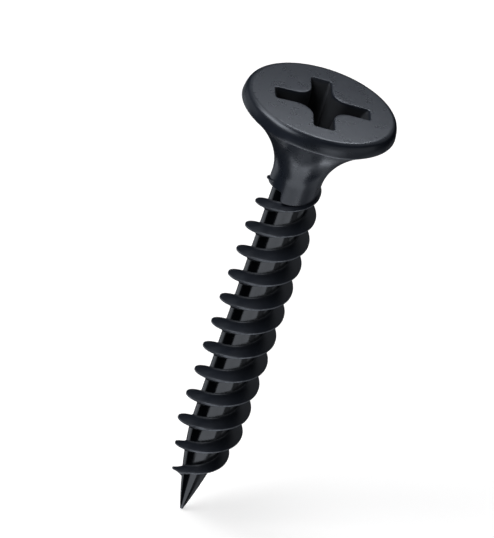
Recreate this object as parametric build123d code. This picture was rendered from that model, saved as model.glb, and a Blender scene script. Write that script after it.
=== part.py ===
from build123d import *
from math import cos, pi, radians, sin, tan
import os

# Self-drilling wood screw, 3.5 x 25 mm: bugle head, cross recess, twin right-hand thread.
#
# The screw lies along Z. The flat top of the head is at z = 0 and faces +Z, and the tip is at
# z = -LENGTH. The four wings of the cross recess lie on X and Y. Sizes are in millimetres.
# The real screw is one piece of steel. The solids below are its working regions, and each one
# meets the next face to face.

LENGTH = 25.07

# Head
HEAD_RADIUS = 4.13           # at the widest of the rounded rim
FLAT_RADIUS = 3.68           # flat top, inside its rounded edge
SHOULDER_RADIUS = 3.95       # the edge curve leaves the flat towards this radius
SHOULDER_DEPTH = 0.12        # and comes onto the rim's side from this depth
RIM_WIDEST_DEPTH = 0.7       # from the top down to the widest of the rim
RIM_DEPTH = 0.93             # from the top down to the start of the bugle curve
BUGLE_RADIUS = 3.89          # the bugle curve at RIM_DEPTH
BUGLE_DEPTH = 4.57           # where the bugle curve runs into the neck

# Cross recess
WING_REACH = 2.54            # from the axis to the end of a wing, at the top
WING_WIDTH = 1.1             # at the top
WING_FLOOR_WIDTH = 0.8
WING_DEPTH = 2.5
WING_END_ANGLE = 26.5        # lean of a wing's end, from the axis
HUB_RADIUS = 1.08            # round middle of the recess, at the top
HUB_FLOOR_RADIUS = 0.72
RECESS_DEPTH = 2.95          # to the bottom of its conical floor

# Neck, core and point
NECK_RADIUS = 1.34
NECK_DEPTH = 4.87            # where the neck starts to narrow to the core
CORE_DEPTH = 6.07            # where the core is at its full slimness
CORE_RADIUS = 1.04
POINT_LENGTH = 5.1           # from the tip to where the core is straight
POINT_BEND = 1.5             # 1 is a plain cone, more bends it into the core
TIP_RADIUS = 0.07
POINT_STEPS = 8              # spans of the point's curved outline

# Thread: two equal ridges, half a turn apart
THREAD_RADIUS = 1.75
STARTS = 2
LEAD = 2.977                 # rise of one ridge in a full turn
FLANK_ANGLE = 23.5           # lean of each flank, from square to the axis
CREST_WIDTH = 0.08           # narrow land along the top of a ridge
CREST_HEIGHT = 0.9565        # height of a ridge's crest where its helix, carried on, passes +X
RUN_OUT_DEPTH = 9.07         # where the ridges start to sink towards the neck
RUN_OUT_LENGTH = 4.6
RUN_OUT_DROP = 0.37          # crest radius that they lose over RUN_OUT_LENGTH
RIDGE_TOP_DEPTH = 4.85       # where both ridges end, a little proud of the neck
POINT_CREST = 0.72           # crest radius, carried on down to the tip's height
POINT_CREST_SLOPE = 0.2      # gain in crest radius for each millimetre above the tip
RIDGE_ENDS = (2.35, 1.15)    # height above the tip where each ridge ends
END_FADE = 0.9               # rise over which a ridge grows from its end to its full height
LEAST_RIDGE = 0.03           # least height of a ridge
STEPS_PER_TURN = 20
ROOT_STRIPS = 4              # strips that carry a ridge's root round the core


def smooth(share):
    """0 to 1 with level ends."""
    share = min(max(share, 0.0), 1.0)
    return share * share * (3 - 2 * share)


def point_radius(above_tip):
    """Radius of the plain point at a height above the tip."""
    return CORE_RADIUS - (CORE_RADIUS - TIP_RADIUS) * (1 - above_tip / POINT_LENGTH) ** POINT_BEND


def core_radius(height):
    """Radius of the body under the thread."""
    above_tip = height + LENGTH
    if above_tip < POINT_LENGTH:
        return point_radius(above_tip)
    narrowed = smooth((-height - NECK_DEPTH) / (CORE_DEPTH - NECK_DEPTH))
    return NECK_RADIUS + (CORE_RADIUS - NECK_RADIUS) * narrowed


def crest_radius(height, ridge_end):
    """Radius of a ridge's crest: full, less the run-out at the neck and the taper to the point."""
    above_tip = height + LENGTH
    risen = max(height + RUN_OUT_DEPTH, 0) / RUN_OUT_LENGTH
    run_out = THREAD_RADIUS - RUN_OUT_DROP * risen**2
    taper = POINT_CREST + POINT_CREST_SLOPE * above_tip
    core = core_radius(height)
    grown = smooth((above_tip - ridge_end) / END_FADE)
    return core + max((min(run_out, taper) - core) * grown, LEAST_RIDGE)


def spun(*outline):
    """Solid of revolution from a closed half section, drawn as (radius, height)."""
    return revolve(Plane.XZ * make_face(outline), Axis.Z, 360)


def head_blank():
    """The head before its recess: flat top, rounded rim, bugle underside."""
    widest = (HEAD_RADIUS, -RIM_WIDEST_DEPTH)
    bugle_top = (BUGLE_RADIUS, -RIM_DEPTH)
    bugle_middle = (NECK_RADIUS, -(RIM_DEPTH + BUGLE_DEPTH) / 2)
    bugle_slope = (BUGLE_DEPTH - RIM_DEPTH) / 2 / (BUGLE_RADIUS - NECK_RADIUS)
    rim_turn = (HEAD_RADIUS, (HEAD_RADIUS - BUGLE_RADIUS) * bugle_slope - RIM_DEPTH)
    bugle_foot = (NECK_RADIUS, -BUGLE_DEPTH)
    return spun(
        Line((0, 0), (FLAT_RADIUS, 0)),
        Bezier((FLAT_RADIUS, 0), (SHOULDER_RADIUS, 0), (HEAD_RADIUS, -SHOULDER_DEPTH), widest),
        Bezier(widest, rim_turn, bugle_top),
        Bezier(bugle_top, bugle_middle, bugle_foot),
        Line(bugle_foot, (0, -BUGLE_DEPTH)),
        Line((0, -BUGLE_DEPTH), (0, 0)),
    )


def recess_bar():
    """Two opposite wings of the recess as one tapered bar along X."""
    floor_reach = WING_REACH - WING_DEPTH * tan(radians(WING_END_ANGLE))
    top = Rectangle(2 * WING_REACH, WING_WIDTH)
    floor = Pos(0, 0, -WING_DEPTH) * Rectangle(2 * floor_reach, WING_FLOOR_WIDTH)
    return loft([floor, top])


def recess():
    """The cross recess as one cutting solid: two crossed bars and a round middle."""
    hub_floor = (HUB_FLOOR_RADIUS, -WING_DEPTH)
    hub = spun(
        Line((0, 0), (HUB_RADIUS, 0)),
        Line((HUB_RADIUS, 0), hub_floor),
        Line(hub_floor, (0, -RECESS_DEPTH)),
        Line((0, -RECESS_DEPTH), (0, 0)),
    )
    return recess_bar() + Rot(0, 0, 90) * recess_bar() + hub


def bugle_head():
    return head_blank() - recess()


def neck():
    """Plain neck that narrows smoothly to the core."""
    third = (CORE_DEPTH - NECK_DEPTH) / 3
    narrowing = Bezier(
        (NECK_RADIUS, -NECK_DEPTH),
        (NECK_RADIUS, -NECK_DEPTH - third),
        (CORE_RADIUS, -CORE_DEPTH + third),
        (CORE_RADIUS, -CORE_DEPTH),
    )
    return spun(
        Line((0, -BUGLE_DEPTH), (NECK_RADIUS, -BUGLE_DEPTH)),
        Line((NECK_RADIUS, -BUGLE_DEPTH), (NECK_RADIUS, -NECK_DEPTH)),
        narrowing,
        Line((CORE_RADIUS, -CORE_DEPTH), (0, -CORE_DEPTH)),
        Line((0, -CORE_DEPTH), (0, -BUGLE_DEPTH)),
    )


def shank():
    """The straight core that carries most of the thread."""
    length = LENGTH - CORE_DEPTH - POINT_LENGTH
    hung = (Align.CENTER, Align.CENTER, Align.MAX)
    return Pos(0, 0, -CORE_DEPTH) * Cylinder(CORE_RADIUS, length, align=hung)


def point():
    """The plain point: a cone from the tip that bends gently into the core."""
    heights = [POINT_LENGTH * step / POINT_STEPS for step in range(POINT_STEPS + 1)]
    side = Spline([(point_radius(height), height - LENGTH) for height in heights])
    top = POINT_LENGTH - LENGTH
    return spun(
        Line((0, -LENGTH), (TIP_RADIUS, -LENGTH)),
        side,
        Line((CORE_RADIUS, top), (0, top)),
        Line((0, top), (0, -LENGTH)),
    )


def ridge_section(height, ridge_end):
    """Section of a ridge whose crest is at this height, as (radius, height) corners: up over
    the crest from the lower root, then back down along the core."""
    crest = crest_radius(height, ridge_end)
    half_crest = CREST_WIDTH / 2
    half_root = half_crest + (crest - core_radius(height)) * tan(radians(FLANK_ANGLE))
    roots = [height + half_root * (1 - 2 * strip / ROOT_STRIPS) for strip in range(ROOT_STRIPS + 1)]
    along_core = [(core_radius(root), root) for root in roots]
    return [(crest, height - half_crest), (crest, height + half_crest)] + along_core


def ridge(start):
    """One ridge of the thread, from its end near the tip up to its end on the neck."""
    ridge_end = RIDGE_ENDS[start]
    low = ridge_end - LENGTH
    rise = -RIDGE_TOP_DEPTH - low
    steps = round(STEPS_PER_TURN * rise / LEAD)
    shares = [step / steps for step in range(steps + 1)]
    sections = []
    for share in shares:
        height = low + rise * share
        turn = (height - CREST_HEIGHT) / LEAD + start / STARTS
        angle = 2 * pi * turn
        corners = ridge_section(height, ridge_end)
        sections.append([(radius * cos(angle), radius * sin(angle), z) for radius, z in corners])
    edges = [Edge.make_spline(list(corner), parameters=shares) for corner in zip(*sections)]
    sides = [Face.make_surface_from_curves(a, b) for a, b in zip(edges, edges[1:] + edges[:1])]
    ends = [Face(Wire.make_polygon(section, close=True)) for section in (sections[0], sections[-1])]
    return Solid(Shell(sides + ends))


def thread():
    return Compound(children=[ridge(start) for start in range(STARTS)])


os.makedirs("parts", exist_ok=True)
for build in (bugle_head, neck, shank, point, thread):
    export_step(build(), f"parts/{build.__name__}.step")
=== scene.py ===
from math import atan2, cos, pi, radians, sin, tan

import bmesh
import bpy
from mathutils import Matrix, Vector


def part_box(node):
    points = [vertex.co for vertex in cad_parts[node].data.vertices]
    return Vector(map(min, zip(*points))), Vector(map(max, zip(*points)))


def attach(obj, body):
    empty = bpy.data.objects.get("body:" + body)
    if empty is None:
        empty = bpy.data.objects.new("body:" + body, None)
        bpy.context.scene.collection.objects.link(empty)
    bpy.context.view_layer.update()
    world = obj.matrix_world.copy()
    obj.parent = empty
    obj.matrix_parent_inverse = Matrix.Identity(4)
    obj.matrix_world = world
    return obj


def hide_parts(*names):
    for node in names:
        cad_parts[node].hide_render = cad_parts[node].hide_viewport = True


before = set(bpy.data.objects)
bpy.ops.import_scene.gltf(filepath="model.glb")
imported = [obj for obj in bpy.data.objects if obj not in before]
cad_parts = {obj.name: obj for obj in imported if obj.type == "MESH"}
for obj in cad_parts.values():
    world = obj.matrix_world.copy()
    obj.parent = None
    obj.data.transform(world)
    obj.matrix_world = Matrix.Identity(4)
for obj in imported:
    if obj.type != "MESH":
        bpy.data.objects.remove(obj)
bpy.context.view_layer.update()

# A black phosphated bugle-head screw, standing on its point. The CAD solids give the places
# and the main sizes. The meshes here are closed, finer and softer-edged copies of them, one for
# each node and two for the thread, in the CAD model's frame. Lengths are metres; MM turns
# millimetres into metres.

MM = 0.001
BODY = "root"

# Main sizes, read from the frame
HEAD_LOW, HEAD_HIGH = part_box("bugle_head")
NECK_LOW, NECK_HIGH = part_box("neck")
SHANK_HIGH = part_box("shank")[1]
POINT_LOW, POINT_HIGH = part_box("point")
THREAD_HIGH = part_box("thread")[1]
HEAD_RADIUS = HEAD_HIGH.x
BUGLE_FOOT = HEAD_LOW.z
NECK_RADIUS = NECK_HIGH.x
CORE_TOP = NECK_LOW.z
CORE_RADIUS = SHANK_HIGH.x
POINT_TOP = POINT_HIGH.z
TIP = POINT_LOW.z
THREAD_RADIUS = THREAD_HIGH.y

# Head
FLAT_RADIUS = 3.68 * MM
SHOULDER_RADIUS = 3.95 * MM      # the edge curve leaves the flat towards this radius
SHOULDER = -0.12 * MM            # and comes onto the rim's side from this height
SIDE_LEAN = 0.04 * MM            # how far the rim's side leans in at the shoulder
DOME_HEIGHT = 0.06 * MM          # how far the top swells towards the middle
RIM_WIDEST = -0.7 * MM
RIM_TURN = -0.759 * MM           # where the rim's side would meet the bugle's slope
RIM_FOOT = -0.93 * MM
BUGLE_RADIUS = 3.89 * MM

# Cross recess
WING_REACH = 2.54 * MM
WING_HALF_WIDTH = 0.55 * MM
WING_END_CORNER = 0.16 * MM      # corner radius at a wing's end
HUB_CORNER = 0.9 * MM            # rounding of the metal between two wings
MOUTH_ROUND = 0.05 * MM          # rounding of the recess's edge
WALL_DEPTH = 2.5 * MM
WING_FLOOR_HALF_WIDTH = 0.4 * MM
WING_END_LEAN = tan(radians(26.5))
FLOOR_ROUND = 0.1 * MM
HUB_CORNER_TAPER = 0.12          # how fast the hub's rounding shrinks with depth
LEAST_END_CORNER = 0.03 * MM
PAINTED_SHADE_DEPTH = 0.18 * MM        # below this depth the recess's walls are dull and painted dark, as shade
RECESS_SHIFT = -0.1 * MM         # the recess sits a little off the axis, towards -Y
RECESS_BOTTOM = -2.95 * MM

MOUTH_WEAR = 0.6                 # share of full wear on the recess's edge
RIM_WEAR = 0.2                   # share of full wear on the head's upper rim

# Neck and point
NECK_FOOT = -5.0 * MM            # where the neck starts to narrow to the core
FOOT_RUN = 0.22 * MM             # height over which it narrows
FOOT_DROP = 0.55 * MM            # how much further down it reaches where a groove ends
FOOT_FINISH_RATE = 1.6           # over 1, the rolled finish is full before the core's radius
GROOVE_END = radians(-125)       # direction of a groove's end, the first of two
GROOVE_END_TURN = radians(7)     # turn over which a groove's end rises
TIP_RADIUS = 0.07 * MM
POINT_BEND = 1.5
TIP_WEAR_HEIGHT = 0.6 * MM

# Thread
STARTS = 2
LEAD = 2.977 * MM
CREST_HEIGHT = 0.9565 * MM       # a crest's height where its helix, carried on, passes +X
FLANK = tan(radians(23.5))
CREST_HALF_WIDTH = 0.04 * MM
CREST_ROUND = 0.035 * MM
ROOT_ROUND = 0.14 * MM
RUN_OUT_TOP = -9.07 * MM
RUN_OUT_LENGTH = 4.6 * MM
RUN_OUT_DROP = 0.37 * MM
POINT_CREST = 0.72 * MM
POINT_CREST_SLOPE = 0.2
RIDGE_ENDS = (2.35 * MM, 1.15 * MM)
END_FADE = 0.9 * MM
CREST_POINTS = 7                 # points of a ridge's section over which crest wear and its painted highlight fade, and over which the painted shade at the roots fades
SINK = 0.012 * MM                # how far a ridge's skirt lies under the core's surface

# Coat
COAT_COLOUR = (0.84, 1.0, 1.34)  # times each material's tone
COAT_IOR = 1.6
DRAWN_TONE = 0.003
DRAWN_ROUGHNESS = 0.15
# grey of worn edges, also used as a painted highlight on the thread's crests
WORN_AND_HIGHLIGHT_COLOUR = (0.14, 0.145, 0.155)
WORN_METAL = 0.6

# Mesh fineness
SEGMENTS = 256
LATHE_STEP = 0.05 * MM
STATIONS_PER_TURN = 120


def smooth(share):
    """0 to 1 with level ends."""
    share = min(max(share, 0.0), 1.0)
    return share * share * (3 - 2 * share)


def bezier(a, b, c, steps):
    """Points along a quadratic curve, without its first point."""
    shares = [step / steps for step in range(1, steps + 1)]
    return [
        tuple((1 - t) ** 2 * p + 2 * t * (1 - t) * q + t * t * r for p, q, r in zip(a, b, c))
        for t in shares
    ]


def cubic(a, b, c, d, steps):
    """Points along a cubic curve, without its first point."""
    shares = [step / steps for step in range(1, steps + 1)]
    return [
        tuple(
            (1 - t) ** 3 * p + 3 * t * (1 - t) ** 2 * q + 3 * t * t * (1 - t) * r + t**3 * s
            for p, q, r, s in zip(a, b, c, d)
        )
        for t in shares
    ]


def ring(radius, height):
    """A level circle of points."""
    angles = [2 * pi * i / SEGMENTS for i in range(SEGMENTS)]
    return [Vector((radius * cos(angle), radius * sin(angle), height)) for angle in angles]


def mesh_from_loops(
    name, loops, wear_and_highlight_at=None, painted_shade_at=None, rolled=None, sharp_first=False, sharp_last=False
):
    """Closed mesh through a list of equal loops, with a fan of triangles over each end. Each vertex
    carries numbers for its material, from functions of its loop and its place in the loop: wear,
    where the coat is rubbed thin and, on the thread's crests, also lightened as a painted
    highlight; painted shade, darkening painted into the recess and at the ridges' roots; and
    rolled, where a forged piece takes on the rolled finish."""
    mesh = bmesh.new()
    paints = {"wear_and_highlight": wear_and_highlight_at, "painted_shade": painted_shade_at, "rolled": rolled}
    for label in paints:
        mesh.verts.layers.float.new(label)
    rows = [[mesh.verts.new(point) for point in loop] for loop in loops]
    count = len(rows[0])
    for label, paint in paints.items():
        layer = mesh.verts.layers.float[label] if paint else None
        for row, verts in enumerate(rows if paint else []):
            for column, vert in enumerate(verts):
                vert[layer] = paint(row, column)
    for upper, lower in zip(rows, rows[1:]):
        for i in range(count):
            j = (i + 1) % count
            mesh.faces.new((upper[i], lower[i], lower[j], upper[j]))
    for row, sharp in ((rows[0], sharp_first), (rows[-1], sharp_last)):
        centre = mesh.verts.new(sum((vert.co for vert in row), Vector()) / count)
        for i in range(count):
            mesh.faces.new((row[i], row[(i + 1) % count], centre))
            if sharp:
                mesh.edges.get((row[i], row[(i + 1) % count])).smooth = False
    return finish_mesh(name, mesh)


def finish_mesh(name, mesh):
    """Object from a bmesh, faces turned outwards and shaded smooth."""
    bmesh.ops.recalc_face_normals(mesh, faces=mesh.faces)
    for face in mesh.faces:
        face.smooth = True
    data = bpy.data.meshes.new(name)
    mesh.to_mesh(data)
    mesh.free()
    piece = bpy.data.objects.new(name, data)
    bpy.context.scene.collection.objects.link(piece)
    return piece


# ---------------------------------------------------------------- head and its recess

def recess_loop(reach, half_width, end_corner, hub_corner, height):
    """Outline of the cross at one height, with as many points as a ring, starting on +X."""
    per_half = SEGMENTS // 8
    end_steps, corner_steps, side_steps = per_half // 5, per_half // 6, per_half // 3
    arc_steps = per_half - end_steps - corner_steps - side_steps
    half = []
    for i in range(end_steps):
        half.append((reach, (half_width - end_corner) * i / end_steps))
    for i in range(corner_steps):
        angle = pi / 2 * i / corner_steps
        x = reach - end_corner * (1 - cos(angle))
        half.append((x, half_width - end_corner * (1 - sin(angle))))
    side_from, side_to = reach - end_corner, half_width + hub_corner
    for i in range(side_steps):
        half.append((side_from + (side_to - side_from) * i / side_steps, half_width))
    for i in range(arc_steps + 1):
        angle = pi / 4 * i / arc_steps
        half.append((side_to - hub_corner * sin(angle), half_width + hub_corner * (1 - cos(angle))))
    quarter = half[:-1] + [(y, x) for x, y in reversed(half)][:-1]
    turns = [Matrix.Rotation(pi / 2 * k, 2) for k in range(4)]
    flat = [turn @ Vector(point) for turn in turns for point in quarter]
    return [Vector((point.x, point.y + RECESS_SHIFT, height)) for point in flat]


def cross_at(depth, grow=0.0):
    """The recess's outline at a depth, grown into the metal by a margin."""
    share = depth / WALL_DEPTH
    half_width = WING_HALF_WIDTH + (WING_FLOOR_HALF_WIDTH - WING_HALF_WIDTH) * share
    reach = WING_REACH - WING_END_LEAN * depth
    hub_corner = HUB_CORNER - HUB_CORNER_TAPER * depth
    end_corner = max(WING_END_CORNER + grow, LEAST_END_CORNER)
    return recess_loop(reach + grow, half_width + grow, end_corner, hub_corner - grow, -depth)


def raised(loop, height):
    """A loop moved to another height."""
    return [Vector((point.x, point.y, height)) for point in loop]


def recess_loops():
    """Loops from the recess's edge on the flat top, down its walls and over its floor."""
    loops = []
    for step in range(7):
        angle = pi / 2 * step / 6
        grow = MOUTH_ROUND * (1 - sin(angle))
        loops.append(raised(cross_at(0, grow), -MOUTH_ROUND * (1 - cos(angle))))
    wall_steps = 14
    for step in range(1, wall_steps + 1):
        depth = MOUTH_ROUND + (WALL_DEPTH - FLOOR_ROUND - MOUTH_ROUND) * step / wall_steps
        loops.append(cross_at(depth))
    for step in range(1, 6):
        angle = pi / 2 * step / 5
        shrink = -FLOOR_ROUND * (1 - cos(angle))
        height = -WALL_DEPTH + FLOOR_ROUND * (1 - sin(angle))
        loops.append(raised(cross_at(WALL_DEPTH, shrink), height))
    edge = loops[-1]
    floor_steps = 8
    for step in range(1, floor_steps):
        share = 1 - step / floor_steps
        height = -WALL_DEPTH + (RECESS_BOTTOM + WALL_DEPTH) * (1 - share**2)
        loops.append([Vector((point.x * share, point.y * share, height)) for point in edge])
    return loops


def head_profile():
    """Outer half section of the head, as (radius, height), from the flat top's edge down."""
    widest = (HEAD_RADIUS, RIM_WIDEST)
    bugle_top = (BUGLE_RADIUS, RIM_FOOT)
    middle = (NECK_RADIUS, (RIM_FOOT + BUGLE_FOOT) / 2)
    profile = [(FLAT_RADIUS, 0.0)]
    shoulder = (HEAD_RADIUS - SIDE_LEAN, SHOULDER)
    profile += cubic((FLAT_RADIUS, 0.0), (SHOULDER_RADIUS, 0.0), shoulder, widest, 18)
    profile += bezier(widest, (HEAD_RADIUS, RIM_TURN), bugle_top, 14)
    profile += bezier(bugle_top, middle, (NECK_RADIUS, BUGLE_FOOT), 60)
    return profile


def domed(point):
    """A point of the head, raised as the top swells there: less, deeper in the recess."""
    across = min(point.x**2 + point.y**2, FLAT_RADIUS**2) / FLAT_RADIUS**2
    return point + Vector((0, 0, DOME_HEIGHT * (1 - across) * (1 - smooth(-point.z / WALL_DEPTH))))


def head_piece():
    recess = [[domed(point) for point in loop] for loop in recess_loops()]
    mouth_edge = raised(recess[0], 0.0)
    flat_edge = ring(FLAT_RADIUS, 0.0)
    flat = []
    flat_steps = 16
    for step in range(1, flat_steps):
        share = step / flat_steps
        level = [inner.lerp(outer, share) for inner, outer in zip(mouth_edge, flat_edge)]
        flat.append([domed(point) for point in level])
    outside = [ring(radius, height) for radius, height in head_profile()]
    loops = list(reversed(recess)) + flat + outside
    mouth = len(recess) - 1
    rim = len(recess) + len(flat)

    def wear_and_highlight_at(row, column):
        at_mouth = 1 - abs(row - mouth + 3) / 4
        at_rim = 1 - abs(row - rim - 2) / 5
        return max(MOUTH_WEAR * at_mouth, RIM_WEAR * at_rim, 0.0)

    # Painted shade: the recess's walls darken with depth
    def painted_shade_at(row, column):
        return smooth(-loops[row][column].z / PAINTED_SHADE_DEPTH) if row < mouth else 0.0

    return mesh_from_loops("head", loops, wear_and_highlight_at, painted_shade_at, sharp_last=True)


# ---------------------------------------------------------------- neck, core and point

def core_radius(height):
    """Radius of the body under the thread."""
    if height < POINT_TOP:
        left = (POINT_TOP - height) / (POINT_TOP - TIP)
        return CORE_RADIUS - (CORE_RADIUS - TIP_RADIUS) * left**POINT_BEND
    return CORE_RADIUS


def foot_radius(point):
    """Radius of the neck's foot at a point's direction and height. A groove of the thread
    ends in a wall, and the neck reaches lower past it."""
    turn = (atan2(point.y, point.x) - GROOVE_END) % pi
    fading = (turn - GROOVE_END_TURN) / (pi - GROOVE_END_TURN)
    past = smooth(turn / GROOVE_END_TURN) * (1 - smooth(fading))
    narrowed = smooth((NECK_FOOT - FOOT_DROP * past - point.z) / FOOT_RUN)
    return NECK_RADIUS + (CORE_RADIUS - NECK_RADIUS) * narrowed


def neck_piece():
    """The plain neck down to the core, with a rolled finish where it has narrowed."""
    heights = [BUGLE_FOOT + (NECK_FOOT - BUGLE_FOOT) * step / 8 for step in range(8)]
    steps = round((NECK_FOOT - CORE_TOP) / LATHE_STEP) * 2
    heights += [NECK_FOOT + (CORE_TOP - NECK_FOOT) * step / steps for step in range(steps + 1)]
    loops = []
    for height in heights:
        level = ring(1.0, height)
        radii = [foot_radius(point) for point in level]
        loops.append([Vector((p.x * r, p.y * r, p.z)) for p, r in zip(level, radii)])

    def finish(row, column):
        radius = loops[row][column].to_2d().length
        return smooth(FOOT_FINISH_RATE * (NECK_RADIUS - radius) / (NECK_RADIUS - CORE_RADIUS))

    return mesh_from_loops("plain_neck", loops, rolled=finish, sharp_first=True, sharp_last=True)


def body_piece(name, top, bottom):
    """A stretch of the body under the thread, with flat ends."""
    steps = max(2, round((top - bottom) / LATHE_STEP))
    heights = [top + (bottom - top) * step / steps for step in range(steps + 1)]
    loops = [ring(core_radius(height), height) for height in heights]
    return mesh_from_loops(name, loops, sharp_first=True, sharp_last=True)


def point_piece():
    """The point, with its tip rounded over."""
    steps = round((POINT_TOP - TIP) / LATHE_STEP)
    cone_foot = TIP + TIP_RADIUS
    heights = [POINT_TOP + (cone_foot - POINT_TOP) * step / steps for step in range(steps + 1)]
    loops = [ring(core_radius(height), height) for height in heights]
    end_radius = core_radius(cone_foot)
    for step in range(1, 6):
        angle = pi / 2 * step / 6
        loops.append(ring(end_radius * cos(angle), TIP + TIP_RADIUS * (1 - sin(angle))))

    def wear_and_highlight_at(row, column):
        return smooth(1 - (loops[row][0].z - TIP) / TIP_WEAR_HEIGHT)

    return mesh_from_loops("drill_point", loops, wear_and_highlight_at, sharp_first=True)


# ---------------------------------------------------------------- thread

def ridge_height(height, ridge_end):
    """How far a ridge stands out of the body: full, less the run-out and the taper."""
    above_tip = height - TIP
    risen = max(height - RUN_OUT_TOP, 0) / RUN_OUT_LENGTH
    run_out = THREAD_RADIUS - RUN_OUT_DROP * risen**2
    taper = POINT_CREST + POINT_CREST_SLOPE * above_tip
    grown = smooth((above_tip - ridge_end) / END_FADE)
    return max((min(run_out, taper) - core_radius(height)) * grown, 0.0)


def half_section(tall):
    """One side of a ridge, as (distance from its middle, height over the body), crest first."""
    full = THREAD_RADIUS - CORE_RADIUS
    scale = tall / full
    foot = CREST_HALF_WIDTH + full * FLANK
    lean = atan2(1, FLANK)
    points = [(0.0, full)]
    start = CREST_HALF_WIDTH - CREST_ROUND * tan((pi / 2 - lean) / 2 + pi / 8) * 0.5
    for step in range(6):
        angle = lean * step / 5
        points.append((start + CREST_ROUND * sin(angle), full - CREST_ROUND * (1 - cos(angle))))
    crest_end = points[-1]
    tangent = ROOT_ROUND * tan(lean / 2)
    flank_end = (foot - tangent * cos(lean), tangent * sin(lean))
    for step in range(1, 6):
        share = step / 6
        points.append(tuple(a + (b - a) * share for a, b in zip(crest_end, flank_end)))
    for step in range(7):
        angle = lean * (1 - step / 6)
        points.append((foot + tangent - ROOT_ROUND * sin(angle), ROOT_ROUND * (1 - cos(angle))))
    return [(across * scale, up * scale) for across, up in points]


def ridge_loop(height, ridge_end, angle):
    """Closed section of a ridge in the plane through the axis at this angle."""
    half = half_section(ridge_height(height, ridge_end))
    skirt = half[-1][0] + 2 * SINK
    section = [(-across, up) for across, up in reversed(half[1:])] + half
    section = [(-skirt, 0.0)] + section + [(skirt, 0.0)]
    loop = []
    for index, (across, up) in enumerate(section):
        sunk = SINK if index in (0, len(section) - 1) or up == 0 else 0
        radius = core_radius(height + across) + up - sunk - SINK * 0.2
        loop.append(Vector((radius * cos(angle), radius * sin(angle), height + across)))
    return loop


def ridge_piece(start):
    """One ridge of the thread, from its end near the tip to its end on the neck."""
    low = TIP + RIDGE_ENDS[start]
    high = THREAD_HIGH.z
    stations = round(STATIONS_PER_TURN * (high - low) / LEAD)
    loops = []
    for station in range(stations + 1):
        height = low + (high - low) * station / stations
        turn = (height - CREST_HEIGHT) / LEAD + start / STARTS
        loops.append(ridge_loop(height, RIDGE_ENDS[start], 2 * pi * turn))
    crest = len(loops[0]) // 2

    # Crests: worn grey, lightened along the crest as a painted highlight
    def wear_and_highlight_at(row, column):
        return max(1 - abs(column - crest) / CREST_POINTS, 0.0)

    # Roots: painted shade where a ridge meets the core
    def painted_shade_at(row, column):
        return max(1 - min(column, len(loops[0]) - 1 - column) / CREST_POINTS, 0.0)

    return mesh_from_loops(f"thread_ridge_{start + 1}", loops, wear_and_highlight_at, painted_shade_at)


# ---------------------------------------------------------------- materials

class Nodes:
    """A material's node tree, with a short way to add and join nodes."""

    def __init__(self, name):
        self.material = bpy.data.materials.new(name)
        self.material.use_nodes = True
        self.tree = self.material.node_tree
        self.shader = self.tree.nodes["Principled BSDF"]

    def add(self, kind, inputs=None, **settings):
        node = self.tree.nodes.new("ShaderNode" + kind)
        for key, value in settings.items():
            setattr(node, key, value)
        for key, value in (inputs or {}).items():
            if isinstance(value, bpy.types.NodeSocket):
                self.tree.links.new(value, node.inputs[key])
            else:
                node.inputs[key].default_value = value
        return node

    def join(self, output, socket):
        self.tree.links.new(output, self.shader.inputs[socket])

    def noise(self, place, size, detail=3.0, roughness=0.55):
        """Noise with features of about this size in metres, spread over 0 to 1."""
        node = self.add("TexNoise", {"Vector": place, "Scale": 1 / size, "Detail": detail,
                                     "Roughness": roughness})
        spread = self.add("MapRange", {"Value": node.outputs["Fac"], "From Min": 0.3,
                                       "From Max": 0.7})
        return spread.outputs["Result"]

    def span(self, share, low, high):
        """Low to high as share goes from 0 to 1."""
        node = self.add("MapRange", {"Value": share, "To Min": low, "To Max": high})
        return node.outputs["Result"]

    def math(self, operation, a, b):
        return self.add("Math", {0: a, 1: b}, operation=operation).outputs[0]

    def mix(self, share, a, b):
        node = self.add("Mix", {"Factor": share, "A": a, "B": b}, data_type="RGBA")
        return node.outputs["Result"]


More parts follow.
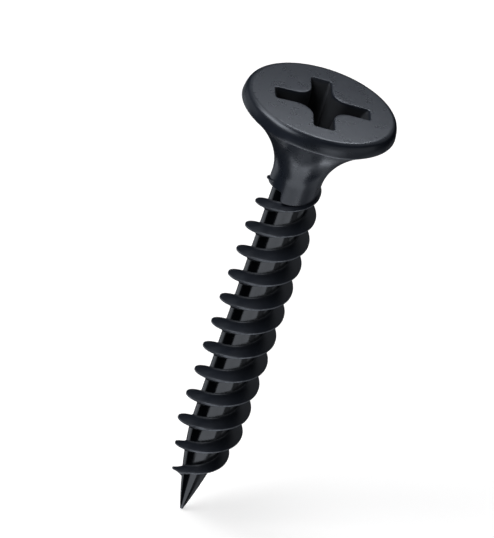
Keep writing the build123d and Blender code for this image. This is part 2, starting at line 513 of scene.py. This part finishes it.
def black_phosphate(name, tone, roughness, stretch, line_strength):
    """Black phosphate on steel: a dark coat of fine crystals, a little oiled, thinned to grey where
    it is rubbed. The rubbed grey on the thread's crests is also a painted highlight, and the coat
    is painted darker, as shade, inside the recess and at the ridges' roots. Where line_strength is
    over 0 it has faint lines around the axis from forming."""
    coat = Nodes(name)
    place = coat.add("TexCoord").outputs["Object"]
    along = coat.add("Mapping", {"Vector": place, "Scale": stretch}).outputs["Vector"]
    wear_and_highlight = coat.add("Attribute", attribute_name="wear_and_highlight").outputs["Fac"]
    painted_shade = coat.add("Attribute", attribute_name="painted_shade").outputs["Fac"]
    finish = coat.add("Attribute", attribute_name="rolled").outputs["Fac"]

    # Tone: broad clouds, finer blotches and grain
    clouds = coat.noise(along, 1.6 * MM, 2.0)
    blotches = coat.noise(along, 0.35 * MM, 4.0)
    grain = coat.noise(place, 0.05 * MM, 3.0)
    shade = coat.math("MULTIPLY", coat.span(clouds, 0.88, 1.12), coat.span(blotches, 0.92, 1.08))
    shade = coat.math("MULTIPLY", shade, coat.span(grain, 0.85, 1.15))
    # Painted shade in the recess and at the ridges' roots
    shade = coat.math("MULTIPLY", shade, coat.span(painted_shade, 1.0, 0.15))
    shade = coat.math("MULTIPLY", shade, coat.span(finish, 1.0, DRAWN_TONE / tone))
    dark = tuple(channel * tone for channel in COAT_COLOUR)
    tinted = coat.add("VectorMath", {0: dark, "Scale": shade}, operation="SCALE").outputs["Vector"]

    # Wear: broken up, so that it comes and goes along an edge; on the thread's crests the worn grey
    # is also a painted highlight
    broken = coat.noise(place, 0.22 * MM, 5.0, 0.65)
    rubbed_and_highlight = coat.math("MULTIPLY", wear_and_highlight, coat.span(broken, 0.45, 1.25))
    rubbed_and_highlight = coat.add("MapRange", {"Value": rubbed_and_highlight, "From Min": 0.25, "From Max": 0.95},
                      interpolation_type="SMOOTHSTEP").outputs["Result"]
    coat.join(coat.mix(rubbed_and_highlight, tinted, (*WORN_AND_HIGHLIGHT_COLOUR, 1)), "Base Color")
    coat.join(coat.span(rubbed_and_highlight, 0.0, WORN_METAL), "Metallic")

    # Gloss: oilier in patches, duller where shade is painted
    oil = coat.noise(along, 0.9 * MM, 3.0)
    gloss = coat.math("ADD", coat.span(oil, roughness - 0.015, roughness + 0.02),
                      coat.span(blotches, -0.01, 0.01))
    gloss = coat.math("ADD", gloss, coat.span(painted_shade, 0.0, 0.45))
    gloss = coat.math("ADD", gloss, coat.span(rubbed_and_highlight, 0.0, 0.08))
    gloss = coat.math("ADD", gloss, coat.span(finish, 0.0, DRAWN_ROUGHNESS - roughness))
    coat.join(gloss, "Roughness")

    # Relief: crystals, and forming lines that run around the axis
    crystals = coat.noise(place, 0.06 * MM, 2.0)
    height = coat.add("SeparateXYZ", {"Vector": place}).outputs["Z"]
    rings = coat.add("CombineXYZ", {"Z": height}).outputs["Vector"]
    ring_noise = coat.add("TexNoise", {"Vector": rings, "Scale": 1 / (0.07 * MM), "Detail": 2.0})
    lines = ring_noise.outputs["Fac"]
    fine = coat.add("Bump", {"Strength": 0.1, "Distance": 0.004 * MM, "Height": crystals})
    formed = coat.add("Bump", {"Strength": line_strength, "Distance": 0.006 * MM, "Height": lines,
                               "Normal": fine.outputs["Normal"]})
    coat.join(formed.outputs["Normal"], "Normal")
    coat.shader.inputs["IOR"].default_value = COAT_IOR
    return coat.material


def dress(piece, material, slot, *nodes):
    piece.data.materials.append(material)
    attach(piece, BODY)
    if nodes:
        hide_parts(*nodes)


forged = black_phosphate(
    "forged_phosphate", tone=0.018, roughness=0.28, stretch=(1, 1, 0.6), line_strength=0.0)
drawn = black_phosphate(
    "drawn_phosphate", DRAWN_TONE, DRAWN_ROUGHNESS, stretch=(1, 1, 0.35), line_strength=0.2)
rolled = black_phosphate(
    "rolled_phosphate", tone=0.014, roughness=0.33, stretch=(1, 1, 0.8), line_strength=0.1)

dress(head_piece(), forged, "head_phosphate", "bugle_head")
dress(neck_piece(), forged, "head_phosphate", "neck")
dress(body_piece("core", CORE_TOP, POINT_TOP), drawn, "rolled_phosphate", "shank")
dress(point_piece(), drawn, "rolled_phosphate", "point")
dress(ridge_piece(0), rolled, "rolled_phosphate", "thread")
dress(ridge_piece(1), rolled, "rolled_phosphate", "thread")


# ---------------------------------------------------------------- floor, camera and light

FLOOR_SIZE = 4.0
FLOOR_GLOW = 0.44
FLOOR_COLOUR = (0.94, 0.88, 0.8, 1)  # warm, to balance the panels' tint
floor_mesh = bmesh.new()
bmesh.ops.create_grid(floor_mesh, x_segments=8, y_segments=8, size=FLOOR_SIZE / 2)
for vert in floor_mesh.verts:
    vert.co.z = TIP
floor = finish_mesh("floor", floor_mesh)

floor_material = bpy.data.materials.new("floor_paper")
floor_material.use_nodes = True
floor_shader = floor_material.node_tree.nodes["Principled BSDF"]
floor_shader.inputs["Base Color"].default_value = FLOOR_COLOUR
floor_shader.inputs["Roughness"].default_value = 0.9
floor_shader.inputs["Emission Color"].default_value = (1, 1, 1, 1)
floor_shader.inputs["Emission Strength"].default_value = FLOOR_GLOW
floor.data.materials.append(floor_material)
floor.visible_glossy = False
floor.visible_diffuse = False
floor.visible_shadow = False

VIEW_AZIMUTH = radians(-11)
VIEW_ELEVATION = radians(27.9)
VIEW_ROLL = radians(19.23)
CAMERA_DISTANCE = 1.1
FRAME_HEIGHT = 27.738 * MM       # what the view takes in, from top to bottom, at the target
AIM_HEIGHT = -12.2775 * MM       # where on the axis the camera aims, before the two offsets
AIM_UP = 1.735 * MM
AIM_RIGHT = -0.315 * MM
SENSOR = 36.0


def look(azimuth, elevation):
    """Unit vector from the target towards a viewer or a light. Azimuth 0 is in front, at -Y,
    and grows to the right."""
    return Vector((sin(azimuth) * cos(elevation), -cos(azimuth) * cos(elevation), sin(elevation)))


back = look(VIEW_AZIMUTH, VIEW_ELEVATION)
level_right = Vector((0, 0, 1)).cross(back).normalized()
level_up = back.cross(level_right)
right = level_right * cos(VIEW_ROLL) + level_up * sin(VIEW_ROLL)
up = level_up * cos(VIEW_ROLL) - level_right * sin(VIEW_ROLL)
target = Vector((0, 0, AIM_HEIGHT)) + up * AIM_UP + right * AIM_RIGHT
camera = bpy.data.objects.new("camera", bpy.data.cameras.new("camera"))
camera.data.sensor_fit = "VERTICAL"
camera.data.sensor_height = SENSOR
camera.data.lens = SENSOR * CAMERA_DISTANCE / FRAME_HEIGHT
camera.data.clip_start = 0.01
camera.data.clip_end = 20
camera.matrix_world = Matrix.Translation(target + back * CAMERA_DISTANCE) @ Matrix(
    (right, up, back)
).transposed().to_4x4()
bpy.context.scene.collection.objects.link(camera)
bpy.context.scene.camera = camera

# Soft panels around the object, as (name, azimuth, elevation, width, height, brightness), the
# angles in degrees and the azimuth counted from the camera's, growing to the right
PANEL_DISTANCE = 0.5
PANEL_TINT = (0.93, 0.99, 1.09)
PANELS = [
    ("table_front", 6, -38, 70, 28, 1.45),
    ("table_below", 6, -70, 40, 36, 1.25),
    ("table_under", 180, -84, 24, 16, 2.4),
    ("table_back", 174, -58, 20, 18, 0.75),
    ("table_back_right", 148, -60, 28, 24, 0.2),
    ("table_left", -124, -31, 30, 28, 0.5),
    ("table_far_left", -158, -24, 24, 16, 0.2),
    ("table_right", 100, -34, 34, 34, 0.34),
    ("table_front_right", 62, -34, 26, 34, 0.2),
    ("table_far_right", 140, -34, 30, 30, 0.12),
    ("key_left", -75, 47, 40, 34, 3.9),
    ("key_front_left", -42, 34, 25, 24, 2.8),
    ("high_left", -135, 58, 32, 24, 2.0),
    ("back_left", -140, 32, 56, 26, 0.2),
    ("back_glow", 177, 43, 12, 12, 6.2),
    ("back", 180, 27, 40, 14, 0.14),
    ("back_right", 142, 38, 36, 36, 0.2),
    ("high_right", 125, 62, 36, 24, 0.15),
    ("right", 60, 8, 80, 40, 0.3),
    ("left", -110, -4, 50, 22, 0.3),
    ("front_right_low", 34, -8, 28, 14, 1.2),
]


def panel(name, azimuth, elevation, width, height, brightness):
    """A rectangle of even light that faces the object, of a size and place given as angles."""
    away = look(VIEW_AZIMUTH + radians(azimuth), radians(elevation))
    light = bpy.data.lights.new(name, "AREA")
    light.shape = "RECTANGLE"
    light.size = 2 * PANEL_DISTANCE * tan(radians(width) / 2)
    light.size_y = 2 * PANEL_DISTANCE * tan(radians(height) / 2)
    light.energy = brightness * pi * light.size * light.size_y
    light.color = PANEL_TINT
    lamp = bpy.data.objects.new(name, light)
    across = Vector((0, 0, 1)).cross(away).normalized()
    facing = Matrix((across, away.cross(across), away)).transposed().to_4x4()
    lamp.matrix_world = Matrix.Translation(Vector((0, 0, TIP / 2)) + away * PANEL_DISTANCE) @ facing
    lamp.visible_camera = False
    bpy.context.scene.collection.objects.link(lamp)
    return lamp


for row in PANELS:
    panel(*row)

# One more panel lights only the floor, and gives the faint shadow that runs off to the back right
floor_lamp = panel("floor_key", -41, 40, 22, 22, 4.5)
lit = bpy.data.collections.new("lit_by_floor_key")
lit.objects.link(floor)
floor_lamp.light_linking.receiver_collection = lit

world = bpy.data.worlds.new("studio")
world.use_nodes = True
world.node_tree.nodes["Background"].inputs["Color"].default_value = (1, 1, 1, 1)
world.node_tree.nodes["Background"].inputs["Strength"].default_value = 1.0
world.cycles_visibility.diffuse = False
world.cycles_visibility.glossy = False
bpy.context.scene.world = world
bpy.context.scene.view_settings.view_transform = "Standard"
